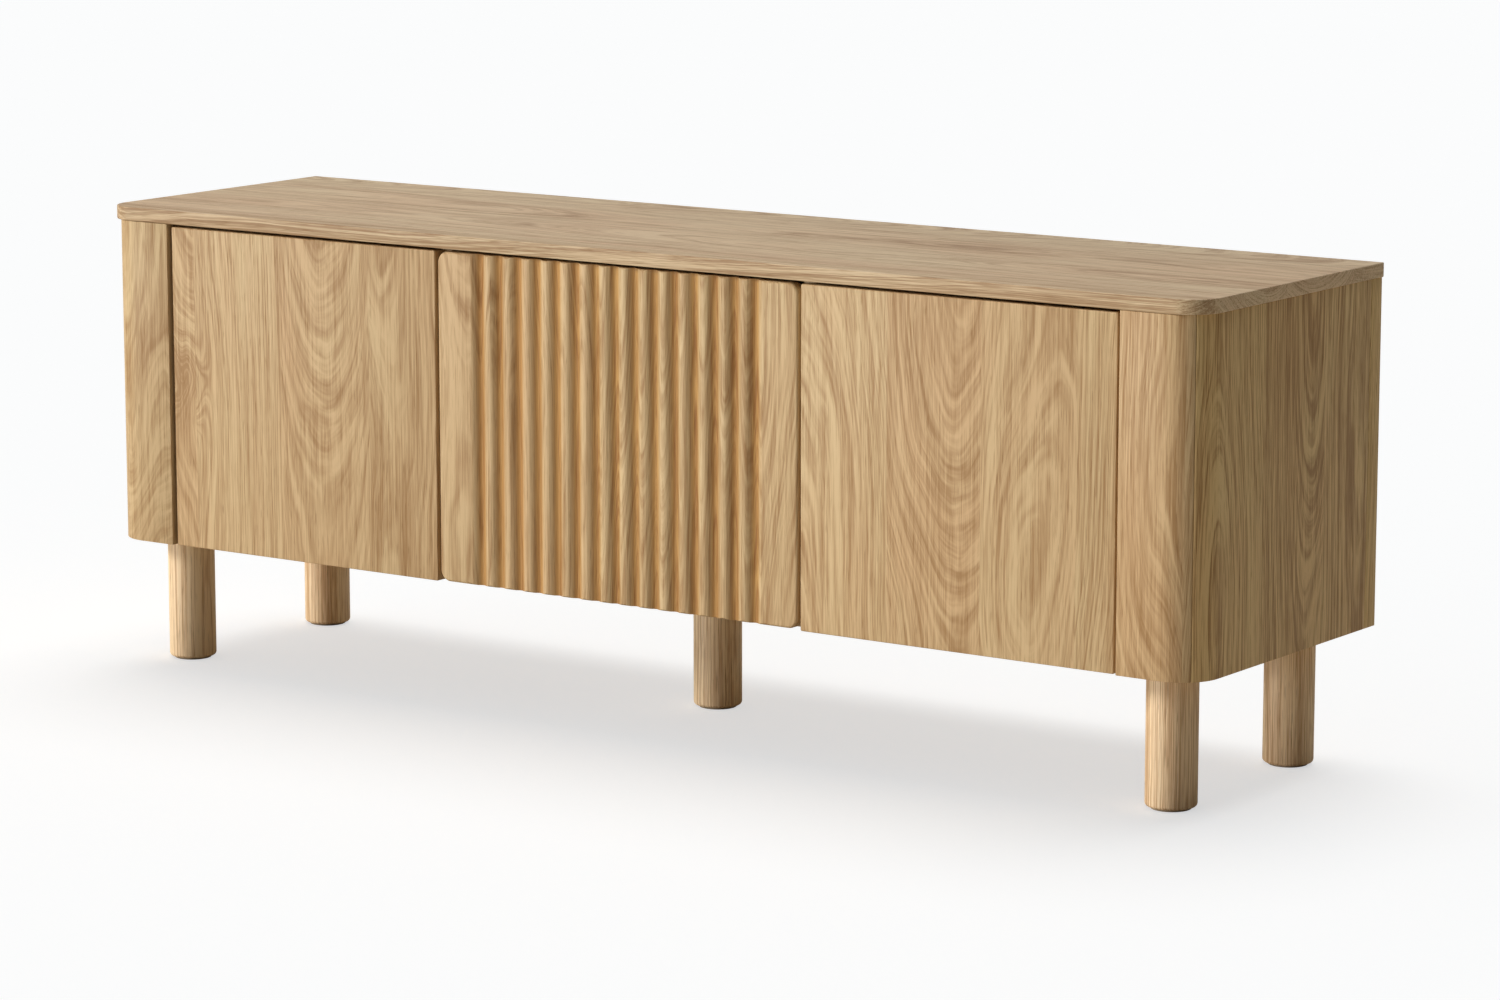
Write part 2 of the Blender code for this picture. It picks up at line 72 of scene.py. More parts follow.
def pick(obj, verts=None, edges=None, faces=None):
    """Opens edit mode with only the elements that pass the test selected."""
    make_active(obj)
    bpy.ops.object.mode_set(mode="EDIT")
    mode = "VERT" if verts else "EDGE" if edges else "FACE"
    bpy.ops.mesh.select_mode(type=mode)
    bpy.ops.mesh.select_all(action="DESELECT")
    bm = bmesh.from_edit_mesh(obj.data)
    if verts:
        for v in bm.verts:
            v.select = verts(v.co)
    if edges:
        for e in bm.edges:
            e.select = edges(e.verts[0].co, e.verts[1].co)
    if faces:
        for f in bm.faces:
            f.select = faces(f.calc_center_median(), f.normal)
    bm.select_flush_mode()
    bmesh.update_edit_mesh(obj.data)


def leave_edit(clean=False):
    if clean:
        bpy.ops.mesh.select_all(action="SELECT")
        bpy.ops.mesh.remove_doubles(threshold=0.000002)
        bpy.ops.mesh.normals_make_consistent(inside=False)
    bpy.ops.object.mode_set(mode="OBJECT")


def apply_all(obj):
    make_active(obj)
    for mod in list(obj.modifiers):
        bpy.ops.object.modifier_apply(modifier=mod.name)


def round_edges(obj, width, segments=3, angle=35):
    mod = obj.modifiers.new("eased", "BEVEL")
    mod.width = width
    mod.segments = segments
    mod.limit_method = "ANGLE"
    mod.angle_limit = math.radians(angle)
    mod.harden_normals = False
    apply_all(obj)


def cut(obj, tool, operation="DIFFERENCE"):
    mod = obj.modifiers.new("cut", "BOOLEAN")
    mod.object = tool
    mod.operation = operation
    mod.solver = "EXACT"
    apply_all(obj)
    bpy.data.objects.remove(tool, do_unlink=True)


def runs_along(axis):
    """A test for an edge that runs along one axis, which is 0, 1 or 2."""
    others = [k for k in range(3) if k != axis]
    return lambda a, b: all(abs(a[k] - b[k]) < HAIR for k in others)


def lies_at(height):
    """A test for an edge that lies at one height."""
    return lambda a, b: abs(a.z - height) < HAIR and abs(b.z - height) < HAIR


def bevel_some(obj, edges, width, segments):
    pick(obj, edges=edges)
    bpy.ops.mesh.bevel(offset=width, segments=segments, profile=0.5)
    leave_edit()


def smooth(obj, angle=30):
    make_active(obj)
    bpy.ops.object.shade_smooth_by_angle(angle=math.radians(angle))


def block(name, low, high):
    low, high = Vector(low), Vector(high)
    deselect()
    bpy.ops.mesh.primitive_cube_add(size=1, location=(low + high) / 2)
    obj = bpy.context.object
    obj.name = name
    obj.scale = high - low
    settle(obj)
    return obj


def rod(name, centre, radius, length, axis="Z", facets=48):
    turn = {"X": (0, math.pi / 2, 0), "Y": (math.pi / 2, 0, 0), "Z": (0, 0, 0)}[axis]
    deselect()
    bpy.ops.mesh.primitive_cylinder_add(
        vertices=facets, radius=radius, depth=length, location=centre, rotation=turn
    )
    obj = bpy.context.object
    obj.name = name
    settle(obj)
    return obj


def join(name, objs):
    deselect()
    for obj in objs:
        obj.select_set(True)
    bpy.context.view_layer.objects.active = objs[0]
    bpy.ops.object.join()
    objs[0].name = name
    return objs[0]


def finish_piece(obj, mat, body, slot, *nodes):
    obj.data.materials.clear()
    obj.data.materials.append(mat)
    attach(obj, body)
    if nodes:
        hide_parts(*nodes)


# ---------------------------------------------------------------- shader helpers

def new_group(name, inputs, outputs):
    tree = bpy.data.node_groups.new(name, "ShaderNodeTree")
    for label, kind, value in inputs:
        sock = tree.interface.new_socket(name=label, in_out="INPUT", socket_type=kind)
        if value is not None:
            sock.default_value = value
    for label, kind in outputs:
        tree.interface.new_socket(name=label, in_out="OUTPUT", socket_type=kind)
    return tree, tree.nodes.new("NodeGroupInput"), tree.nodes.new("NodeGroupOutput")


class Wires:
    """Short ways to add and join nodes in one tree."""

    def __init__(self, tree):
        self.tree = tree

    def put(self, sock, value):
        if isinstance(value, bpy.types.NodeSocket):
            self.tree.links.new(value, sock)
        elif value is not None:
            sock.default_value = value

    def math(self, op, a, b=None, c=None, clamp=False):
        node = self.tree.nodes.new("ShaderNodeMath")
        node.operation = op
        node.use_clamp = clamp
        for sock, value in zip(node.inputs, (a, b, c)):
            self.put(sock, value)
        return node.outputs[0]

    def plus(self, a, b, clamp=False):
        return self.math("ADD", a, b, clamp=clamp)

    def less(self, a, b):
        return self.math("SUBTRACT", a, b)

    def times(self, a, b):
        return self.math("MULTIPLY", a, b)

    def over(self, a, b):
        return self.math("DIVIDE", a, b)

    def vec(self, op, a, b=None):
        node = self.tree.nodes.new("ShaderNodeVectorMath")
        node.operation = op
        self.put(node.inputs[0], a)
        self.put(node.inputs[1], b)
        return node.outputs[0]

    def xyz(self, x, y, z):
        node = self.tree.nodes.new("ShaderNodeCombineXYZ")
        for sock, value in zip(node.inputs, (x, y, z)):
            self.put(sock, value)
        return node.outputs[0]

    def split(self, v):
        node = self.tree.nodes.new("ShaderNodeSeparateXYZ")
        self.put(node.inputs[0], v)
        return node.outputs

    def noise(self, v, scale=1.0, detail=2.0, rough=0.5):
        node = self.tree.nodes.new("ShaderNodeTexNoise")
        self.put(node.inputs["Vector"], v)
        node.inputs["Scale"].default_value = scale
        node.inputs["Detail"].default_value = detail
        node.inputs["Roughness"].default_value = rough
        return node.outputs[0]

    def band(self, value, low, high, out_low=0.0, out_high=1.0):
        node = self.tree.nodes.new("ShaderNodeMapRange")
        node.interpolation_type = "SMOOTHSTEP"
        self.put(node.inputs["Value"], value)
        ends = (("From Min", low), ("From Max", high), ("To Min", out_low), ("To Max", out_high))
        for label, number in ends:
            node.inputs[label].default_value = number
        return node.outputs[0]

    def mix(self, factor, a, b, kind="MIX"):
        node = self.tree.nodes.new("ShaderNodeMix")
        node.data_type = "RGBA"
        node.blend_type = kind
        self.put(node.inputs["Factor"], factor)
        self.put(node.inputs["A"], a)
        self.put(node.inputs["B"], b)
        return node.outputs["Result"]


def rgb(r, g, b):
    """A linear colour from the eight-bit values a paint chart gives."""
    def lin(c):
        c /= 255
        return c / 12.92 if c <= 0.04045 else ((c + 0.055) / 1.055) ** 2.4
    return (lin(r), lin(g), lin(b), 1.0)


def build_oak_figure():
    """Sawn oak: leaves of veneer, growth rings, fibre, pores and a knot.

    The grain runs along Z of its Vector, the leaves lie side by side along X, and the rings go back along Y.
    """
    tree, inp, out = new_group(
        "oak_figure",
        (
            ("Vector", "NodeSocketVector", None),
            ("Leaf Width", "NodeSocketFloat", 0.12),
            ("Leaf Shift", "NodeSocketFloat", 0.0),
            ("Seed", "NodeSocketFloat", 0.0),
            ("Figure", "NodeSocketFloat", 1.0),
            ("Fibre", "NodeSocketFloat", 1.0),
            ("Knot Place", "NodeSocketVector", (0, 0, 0)),
            ("Knot", "NodeSocketFloat", 0.0),
            ("Pale", "NodeSocketColor", (0.6, 0.45, 0.3, 1)),
            ("Warm", "NodeSocketColor", (0.5, 0.36, 0.2, 1)),
            ("Dark", "NodeSocketColor", (0.4, 0.28, 0.16, 1)),
            ("Pore", "NodeSocketColor", (0.25, 0.16, 0.09, 1)),
        ),
        (
            ("Color", "NodeSocketColor"),
            ("Roughness", "NodeSocketFloat"),
            ("Height", "NodeSocketFloat"),
        ),
    )
    w = Wires(tree)
    i = inp.outputs
    x, y, z = w.split(i["Vector"])
    seed = i["Seed"]
    shifted = w.over(w.plus(x, i["Leaf Shift"]), i["Leaf Width"])
    leaf = w.math("FLOOR", shifted)
    across = w.times(w.less(w.math("FRACT", shifted), 0.5), i["Leaf Width"])
    dice = tree.nodes.new("ShaderNodeTexWhiteNoise")
    dice.noise_dimensions = "2D"
    w.put(dice.inputs["Vector"], w.xyz(leaf, w.times(seed, 7.31), 0.0))
    a, b, c = w.split(dice.outputs["Color"])
    apart = w.xyz(w.times(a, 31.0), w.times(b, 17.0), w.times(seed, 3.7))

    def swing(cross, along, detail):
        v = w.xyz(w.times(x, cross), w.times(y, cross), w.times(z, along))
        return w.less(w.noise(w.vec("ADD", v, apart), 1.0, detail), 0.5)

    sway, ripple = swing(3.6, 1.5, 1.5), swing(30.0, 9.0, 1.0)
    # a knot lifts the rings round one place
    away = w.vec("MULTIPLY", w.vec("SUBTRACT", i["Vector"], i["Knot Place"]), (34.0, 0.0, 22.0))
    ax, _, az = w.split(away)
    far = w.plus(w.times(ax, ax), w.times(az, az))
    knot = w.times(w.math("POWER", math.e, w.times(far, -1.0)), i["Knot"])
    # distance from a pith that leans a little against the face
    pith = w.times(w.less(a, 0.5), w.times(i["Leaf Width"], 1.7))
    side = w.plus(w.less(across, pith), w.times(sway, 0.020))
    lean = w.times(z, w.times(w.less(c, 0.5), 0.15))
    deep = w.plus(w.plus(w.plus(y, 0.045), lean), w.times(sway, 0.075))
    radius = w.math("SQRT", w.plus(w.times(side, side), w.times(deep, deep)))
    lift = w.times(w.times(knot, 0.026), w.plus(1.0, w.times(ripple, 2.6)))
    radius = w.plus(w.plus(radius, w.times(ripple, 0.0035)), lift)

    def rings(scale, drift):
        """Bands that follow the rings, scale of them to a metre, and drift a little along the board."""
        v = w.xyz(w.times(radius, scale), w.plus(w.times(x, drift), w.times(a, 9.0)),
                  w.plus(w.times(z, drift * 0.25), w.times(seed, 2.9)))
        return w.noise(v, rough=0.55)

    def streaks(cross, along, detail=2.0):
        """Streaks that lie along the grain, so many to a metre across it and along it."""
        v = w.xyz(w.times(x, cross), w.times(y, cross), w.plus(w.times(z, along), w.times(seed, 5.3)))
        return w.noise(v, detail=detail)

    def share(v, amount):
        """A noise value as a swing to either side of nothing."""
        return w.times(w.less(v, 0.5), amount)

    wide = w.band(rings(70.0, 3.0), 0.34, 0.66)
    year = w.band(rings(330.0, 7.0), 0.42, 0.60)
    line = rings(760.0, 22.0)
    broad = streaks(70.0, 1.5)
    fine = streaks(520.0, 6.0, 3.0)
    hair = streaks(1150.0, 26.0)
    spot = w.band(streaks(9.0, 3.5), 0.40, 0.62)
    show = w.times(i["Figure"], w.plus(0.35, w.times(spot, 0.65)))
    pores = w.times(w.band(streaks(820.0, 40.0, 1.0), 0.57, 0.70), w.plus(0.35, w.times(year, 0.65)))
    figure = w.times(w.plus(share(year, 0.44), share(wide, 0.17)), show)
    fibre = w.plus(share(line, 2.05), w.plus(share(fine, 1.45), share(hair, 1.35)))
    tone = w.plus(share(b, 0.42), share(broad, 0.24))
    # how far the wood goes from its ground colour to its dark one
    dark = w.plus(w.plus(figure, w.times(fibre, i["Fibre"])), tone)
    dark = w.plus(dark, w.plus(0.42, w.times(knot, 0.5)), clamp=True)
    blush = w.plus(w.times(wide, 0.36), w.plus(share(c, 0.55), w.times(spot, 0.30)), clamp=True)
    ground = w.mix(blush, i["Pale"], i["Warm"])
    wood = w.mix(dark, ground, i["Dark"])
    w.put(out.inputs["Color"], w.mix(w.times(pores, 0.38), wood, i["Pore"]))
    w.put(out.inputs["Roughness"], w.plus(w.plus(0.42, w.times(fine, 0.14)), w.times(pores, 0.18)))
    raised = w.plus(w.times(fine, 0.35), w.times(hair, 0.20))
    w.put(out.inputs["Height"], w.less(raised, w.times(pores, 0.75)))
    return tree


def start_material(name):
    mat = bpy.data.materials.new(name)
    mat.use_nodes = True
    tree = mat.node_tree
    return mat, tree, tree.nodes["Principled BSDF"], Wires(tree)


def shaded(colour, factor):
    """The same colour, lighter or darker."""
    return tuple(min(1, c * factor) for c in colour[:3]) + (1,)


def relief_of(height, shader, w, strength, distance):
    bump = w.tree.nodes.new("ShaderNodeBump")
    bump.inputs["Strength"].default_value = strength
    bump.inputs["Distance"].default_value = distance
    w.put(bump.inputs["Height"], height)
    w.put(shader.inputs["Normal"], bump.outputs["Normal"])


def object_vector(tree, w, turn=(0, 0, 0), shift=(0, 0, 0)):
    coords = tree.nodes.new("ShaderNodeTexCoord")
    mapping = tree.nodes.new("ShaderNodeMapping")
    mapping.inputs["Rotation"].default_value = turn
    mapping.inputs["Location"].default_value = shift
    w.put(mapping.inputs["Vector"], coords.outputs["Object"])
    return mapping.outputs["Vector"]


# Z stands upright on a front, Y upright on a side, and X runs along a level board
GRAIN_TURN = {"Z": (0, 0, 0), "Y": (0, 0, math.pi / 2), "X": (0, -math.pi / 2, -math.pi / 2)}
HEART = -0.13  # how far behind a face the heart of its log lies
LACQUER_SHINE = 0.32
FACE_OAK = (rgb(210, 184, 142), rgb(205, 171, 130), rgb(163, 127, 86), rgb(124, 88, 52))
TOP_OAK = (rgb(210, 188, 154), rgb(206, 173, 139), rgb(163, 132, 99), rgb(124, 94, 64))
# the legs are paler oak than the fronts, and their tones are raised further as painted light, making up for
# the shade of the body above them
LEG_OAK_PAINTED_LIGHT = (rgb(252, 229, 192), rgb(242, 212, 173), rgb(200, 163, 124), rgb(112, 82, 56))
# painted shade: the sides' tones are more saturated and less blue than the front's, standing in for the warm
# shade on the sides that face away from the lamps
SIDE_OAK_WARM_SHADE = (rgb(216, 187, 134), rgb(210, 172, 121), rgb(156, 118, 72), rgb(116, 80, 44))
LINING_OAK = (rgb(222, 198, 160), rgb(214, 184, 146), rgb(190, 158, 116), rgb(152, 118, 80))


def oak(name, grain="Z", seed=0.0, leaf=0.12, shift=0.0, figure=1.0, fibre=1.0, tones=FACE_OAK,
        centre=(0, 0, 0), relief=0.00016, knot=None, crest=None):
    """Lacquered oak with its grain along one axis.

    seed gives each board its own figure, and crest is the depth at which the ribs stand; below it the grooves
    get painted shade.
    """
    mat, tree, shader, w = start_material(name)
    group = tree.nodes.new("ShaderNodeGroup")
    group.node_tree = OAK_FIGURE
    w.put(group.inputs["Vector"], object_vector(tree, w, GRAIN_TURN[grain], centre))
    values = {"Leaf Width": leaf, "Leaf Shift": shift, "Seed": seed, "Figure": figure, "Fibre": fibre}
    values.update(zip(("Pale", "Warm", "Dark", "Pore"), tones))
    if knot:
        values.update({"Knot Place": knot, "Knot": 1.0})
    for label, value in values.items():
        group.inputs[label].default_value = value
    colour = group.outputs["Color"]
    if crest is not None:
        # painted shade: the colour is darkened in the grooves between the ribs, where shade falls
        x, deep, _ = w.split(tree.nodes.new("ShaderNodeTexCoord").outputs["Object"])
        groove_shade = w.times(w.band(deep, crest + 0.0008, crest + 0.0055, 0.0, 0.9),
                         w.band(deep, crest + 0.0062, crest + 0.0070, 1.0, 0.0))
        ribs = (FLUTES + 1) * PITCH / 2
        groove_shade = w.times(groove_shade, w.band(w.math("ABSOLUTE", x), ribs, ribs + 0.002, 1.0, 0.0))
        colour = w.mix(groove_shade, colour, rgb(222, 192, 140), "MULTIPLY")
    w.put(shader.inputs["Base Color"], colour)
    w.put(shader.inputs["Roughness"], group.outputs["Roughness"])
    relief_of(group.outputs["Height"], shader, w, 0.55, relief)
    shader.inputs["Specular IOR Level"].default_value = LACQUER_SHINE
    return mat


def nickel(name, base, rough):
    """Plated steel, with the faint cloud and drawn lines of a pressed part."""
    mat, tree, shader, w = start_material(name)
    v = object_vector(tree, w)
    cloud = w.noise(v, 60.0, 3.0)
    x, y, z = w.split(v)
    drawn = w.noise(w.xyz(w.times(x, 900.0), w.times(y, 60.0), w.times(z, 900.0)))
    w.put(shader.inputs["Base Color"], w.mix(cloud, shaded(base, 0.86), base))
    w.put(shader.inputs["Roughness"], w.plus(rough - 0.06, w.times(drawn, 0.16)))
    shader.inputs["Metallic"].default_value = 1.0
    relief_of(drawn, shader, w, 0.2, 0.00005)
    return mat


def moulded(name, base, rough):
    """Moulded plastic with a fine spark-eroded texture."""
    mat, tree, shader, w = start_material(name)
    v = object_vector(tree, w)
    grit = w.noise(v, 2600.0, 2.0)
    cloud = w.noise(v, 45.0, 2.0)
    w.put(shader.inputs["Base Color"], w.mix(cloud, base, shaded(base, 1.12)))
    w.put(shader.inputs["Roughness"], w.plus(rough, w.times(grit, 0.12)))
    relief_of(grit, shader, w, 0.25, 0.00005)
    return mat


def felted(name, base):
    """Pressed felt, with hairs and soft tufts."""
    mat, tree, shader, w = start_material(name)
    v = object_vector(tree, w)
    hairs = w.noise(v, 1400.0, 4.0, 0.7)
    tuft = w.noise(v, 180.0, 3.0)
    w.put(shader.inputs["Base Color"], w.mix(w.times(hairs, tuft), base, shaded(base, 2.2)))
    w.put(shader.inputs["Roughness"], w.plus(0.85, w.times(hairs, 0.1)))
    relief_of(hairs, shader, w, 0.6, 0.0003)
    return mat


def pressed_board(name, base):
    """Hardboard: matt brown, with short fibres lying every way."""
    mat, tree, shader, w = start_material(name)
    v = object_vector(tree, w)
    chips = w.noise(v, 420.0, 4.0, 0.65)
    cloud = w.noise(v, 9.0, 3.0)
    speckled = w.mix(w.band(chips, 0.35, 0.68), shaded(base, 0.72), base)
    w.put(shader.inputs["Base Color"], w.mix(w.times(cloud, 0.45), speckled, shaded(base, 1.2)))
    w.put(shader.inputs["Roughness"], w.plus(0.62, w.times(chips, 0.18)))
    relief_of(chips, shader, w, 0.35, 0.0002)
    return mat


OAK_FIGURE = build_oak_figure()

# ---------------------------------------------------------------- sizes read from the frame

TOP0, TOP1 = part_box("top_panel")
DOOR = {bay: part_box("door_" + bay) for bay in BAYS}
POST0, POST1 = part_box("corner_post_right")
PANEL1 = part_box("side_panel_right")[1]
TOP_CORNER = 0.038
BODY_CORNER = 0.046
SHELL = 0.016
SEAM = 0.0003
BOARD_EASE = 0.0007
TOP_EASE = 0.0011
DOOR_EASE = 0.0013
DOOR_CORNER = 0.0018
FLUTED_EASE = 0.0032
FLUTED_CORNER = 0.013
FLUTES, PITCH, FLUTE_DEEP = 14, 0.027, 0.0055
FLUTE_CREST = 1.3
FLUTE_LAP = 0.0001
STEPS_PER_RIB = 20
LEG_FOOT_EASE = 0.0042
LEG_HEAD_EASE = 0.0008
STUD_CLEAR = 0.0003
ARC_X, ARC_Y = PANEL1[0] - BODY_CORNER, POST0[1] + BODY_CORNER


# ---------------------------------------------------------------- the shell

def ease_board(board):
    round_edges(board, BOARD_EASE, 2)
    smooth(board)


def middle(low, high):
    return [(a + b) / 2 for a, b in zip(low, high)]


def model_top():
    top = block("top_board", TOP0, TOP1)
    upright = runs_along(2)
    bevel_some(top, lambda a, b: upright(a, b) and a.y < 0, TOP_CORNER, 28)
    round_edges(top, TOP_EASE, 4)
    smooth(top)
    wood = oak("oak_top_face", "X", seed=3.0, leaf=0.148, shift=0.02, figure=1.2, fibre=1.3,
               tones=TOP_OAK, centre=(0, HEART - TOP1[2], 0))
    finish_piece(top, wood, "carcass", "oak_top", "top_panel")


def swept_shell(name, start, side, turns):
    """A board section that follows the plan of the body: straight runs and part of the rounded corner."""
    low_z, high_z = POST0[2], POST1[2]
    deselect()
    bpy.ops.mesh.primitive_plane_add(size=1)
    shell = bpy.context.object
    shell.name = name
    bpy.ops.object.mode_set(mode="EDIT")
    bm = bmesh.from_edit_mesh(shell.data)
    (xa, ya), (xb, yb) = start
    corners = ((xa, ya, low_z), (xb, yb, low_z), (xb, yb, high_z), (xa, ya, high_z))
    order = sorted(bm.verts, key=lambda v: math.atan2(v.co.y, v.co.x))
    for v, co in zip(order, corners):
        v.co = co
    bmesh.update_edit_mesh(shell.data)
    bpy.ops.mesh.select_all(action="SELECT")
    for kind, value in turns:
        if kind == "run":
            bpy.ops.mesh.extrude_region_move(TRANSFORM_OT_translate={"value": value})
        else:
            bpy.ops.mesh.spin(steps=16, angle=-value, center=(ARC_X * side, ARC_Y, 0), axis=(0, 0, 1))
    leave_edit(clean=True)
    return shell


HALF_TURN = math.pi / 4 - SEAM / 2 / BODY_CORNER  # half of the rounded corner, up to the seam


def model_post(word, side):
    x_in = side * POST0[0]
    start = ((x_in, POST0[1]), (x_in, POST0[1] + SHELL))
    turns = (("run", (side * (ARC_X - POST0[0]), 0, 0)), ("turn", side * HALF_TURN))
    post = swept_shell("post_" + word, start, side, turns)
    ease_board(post)
    wood = oak("oak_post_" + word, "Z", seed=34.2 if side < 0 else 12.0, leaf=0.083, shift=0.02 * side,
               figure=0.75)
    finish_piece(post, wood, "carcass", "oak_front", "corner_post_" + word)


def model_side(word, side):
    face, inner = side * PANEL1[0], side * (PANEL1[0] - SHELL)
    y_end = PANEL1[1]
    turns = (("run", (0, ARC_Y - y_end, 0)), ("turn", -side * HALF_TURN))
    panel = swept_shell("side_" + word, ((face, y_end), (inner, y_end)), side, turns)
    ease_board(panel)
    wood = oak("oak_side_" + word, "Y", seed=28.5 if side < 0 else 90.8, leaf=0.131, shift=0.072,
               figure=1.2, fibre=1.4, tones=SIDE_OAK_WARM_SHADE, centre=(0, HEART - face, 0))
    finish_piece(panel, wood, "carcass", "oak_side", "side_panel_" + word)


def model_rear_strip(word, side):
    strip = block("strip_" + word, *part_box("rear_strip_" + word))
    ease_board(strip)
    wood = oak("oak_strip_" + word, "Z", seed=31.0 + side, leaf=0.08, shift=0.01, figure=1.1, fibre=1.3,
               tones=SIDE_OAK_WARM_SHADE)
    finish_piece(strip, wood, "carcass", "oak_side", "rear_strip_" + word)


def model_shell():
    for word, side in SIDES:
        model_post(word, side)
        model_side(word, side)
        model_rear_strip(word, side)


# ---------------------------------------------------------------- doors

def cup_bores(door, bay):
    for level in LEVELS:
        low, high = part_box(f"hinge_cup_{bay}_{level}")
        radius = (high[0] - low[0]) / 2 + SEAM
        depth_to = low[1] - SEAM
        back = DOOR[bay][1][1] + 0.01
        x, _, z = middle(low, high)
        tool = rod("bore", (x, (depth_to + back) / 2, z), radius, back - depth_to, "Y", 64)
        cut(door, tool)


def model_plain_doors():
    for bay, seed, leaf, shift in (("left", 152.9, 0.132, 0.0852), ("right", 90.9, 0.118, 0.1086)):
        knot = (DOOR[bay][0][0] + 0.010, 0.0, 0.352) if bay == "left" else None
        door = block("slab_door_" + bay, *DOOR[bay])
        bevel_some(door, runs_along(1), DOOR_CORNER, 3)
        round_edges(door, DOOR_EASE, 3)
        cup_bores(door, bay)
        smooth(door)
        wood = oak("oak_door_" + bay, "Z", seed, leaf, shift, figure=0.8, knot=knot)
        finish_piece(door, wood, "door_" + bay, "oak_front", "door_" + bay)


def rib_depth(offset, rise):
    """Depth behind the door's face at a distance from a rib's middle. The crest is proud by rise."""
    wave = (1 - math.cos(2 * math.pi * offset / PITCH)) / 2
    return wave**FLUTE_CREST * (FLUTE_DEEP + rise) - rise


def flute_depth(x):
    """Depth of the cut across the whole door. Past the outer grooves it comes out in front of the face."""
    half = FLUTES * PITCH / 2
    if x <= -half + 1e-7:
        return rib_depth(x + half + PITCH / 2, FLUTE_LAP)
    if x >= half - 1e-7:
        return rib_depth(x - half - PITCH / 2, FLUTE_LAP)
    rib = min(FLUTES - 1, int((x + half) / PITCH))
    return rib_depth(x + half - (rib + 0.5) * PITCH, -FLUTE_LAP)


def flute_tool(low, high):
    """A block whose back is the wave of the ribs, to cut them from the front of the door."""
    columns = (FLUTES + 1) * STEPS_PER_RIB
    deselect()
    bpy.ops.mesh.primitive_grid_add(x_subdivisions=columns, y_subdivisions=1, size=1,
                                    rotation=(math.pi / 2, 0, 0))
    tool = bpy.context.object
    x, _, z = middle(low, high)
    tool.scale = ((FLUTES + 1) * PITCH, high[2] - low[2] + 0.02, 1)
    tool.location = (x, low[1], z)
    settle(tool)
    for v in tool.data.vertices:
        v.co.y = low[1] + flute_depth(v.co.x)
    reach = 0.03
    pick(tool, faces=lambda centre, normal: True)
    bpy.ops.mesh.extrude_region_move(TRANSFORM_OT_translate={"value": (0, -reach, 0)})
    leave_edit()
    pick(tool, verts=lambda co: co.y < low[1] - reach / 2)
    bpy.ops.transform.resize(value=(1, 0, 1), center_override=(0, low[1] - reach, 0))
    leave_edit(clean=True)
    return tool


def model_fluted_door():
    low, high = DOOR["centre"]
    door = block("fluted_door", low, high)
    bevel_some(door, runs_along(1), FLUTED_CORNER, 16)
    round_edges(door, FLUTED_EASE, 5)
    cut(door, flute_tool(low, high))
    cup_bores(door, "centre")
    smooth(door, 24)
    wood = oak("oak_door_fluted", "Z", seed=53.0, leaf=0.108, shift=0.03, figure=0.6, crest=low[1])
    finish_piece(door, wood, "door_centre", "oak_front", "door_centre")


# ---------------------------------------------------------------- legs and glides

LEGS = ("front_left", "front_right", "rear_left", "rear_right", "centre")


def model_leg(word, seed):
    low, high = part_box("leg_" + word)
    mid = middle(low, high)
    leg = rod("turned_leg_" + word, mid, (high[0] - low[0]) / 2, high[2] - low[2], "Z", 96)
    bevel_some(leg, lies_at(low[2]), LEG_FOOT_EASE, 6)
    bevel_some(leg, lies_at(high[2]), LEG_HEAD_EASE, 2)
    stud_low, stud_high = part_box("leg_stud_" + word)
    radius = (stud_high[0] - stud_low[0]) / 2 + STUD_CLEAR
    length = stud_high[2] - stud_low[2] + 2 * STUD_CLEAR
    cut(leg, rod("stud_bore", middle(stud_low, stud_high), radius, length, "Z", 32))
    smooth(leg, 40)
    wood = oak("oak_leg_" + word, "Z", seed=seed, leaf=0.5, shift=0.25 - mid[0], figure=1.0, fibre=1.35,
               tones=LEG_OAK_PAINTED_LIGHT, centre=(0, -mid[1], 0))
    finish_piece(leg, wood, "carcass", "oak_leg", "leg_" + word)


def model_glide(word):
    low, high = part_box("glide_" + word)
    glide = rod("felt_pad_" + word, middle(low, high), (high[0] - low[0]) / 2, high[2] - low[2], "Z", 64)
    round_edges(glide, 0.0006, 3)
    smooth(glide, 40)
    finish_piece(glide, FELT, "carcass", "felt", "glide_" + word)


def model_legs():
    for k, word in enumerate(LEGS):
        model_leg(word, 61.0 + 3 * k)
        model_glide(word)


# ---------------------------------------------------------------- inside

def finish_node(node, mat):
    """Gives a CAD node a finish of its own."""
    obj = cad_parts[node]
    obj.data.materials.clear()
    obj.data.materials.append(mat)


def lining_oak(name, grain, seed, shift, face):
    """The printed foil of the inside, which is smoother and plainer than veneer."""
    return oak(name, grain, seed=seed, leaf=0.14, shift=shift, figure=0.8, fibre=0.7, tones=LINING_OAK,
               centre=(0, HEART - face, 0), relief=0.00006)


def model_inside():
    uprights = ("inner_side_left", "inner_side_right", "divider_left", "divider_right")
    shelves = ("shelf_left", "shelf_centre", "shelf_right")
    for k, node in enumerate(uprights + shelves):
        low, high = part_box(node)
        board = block("lining_" + node, low, high)
        ease_board(board)
        grain, face = ("Y", low[0]) if node in uprights else ("X", low[2])
        finish_piece(board, lining_oak("foil_" + node, grain, 71.0 + k, 0.03, face), "carcass", "board", node)
    finish_node("bottom_panel", lining_oak("foil_floor", "X", 78.0, 0.02, 0))
    finish_node("back_panel", pressed_board("hardboard", rgb(176, 146, 108)))


# ---------------------------------------------------------------- screws, pins and nails

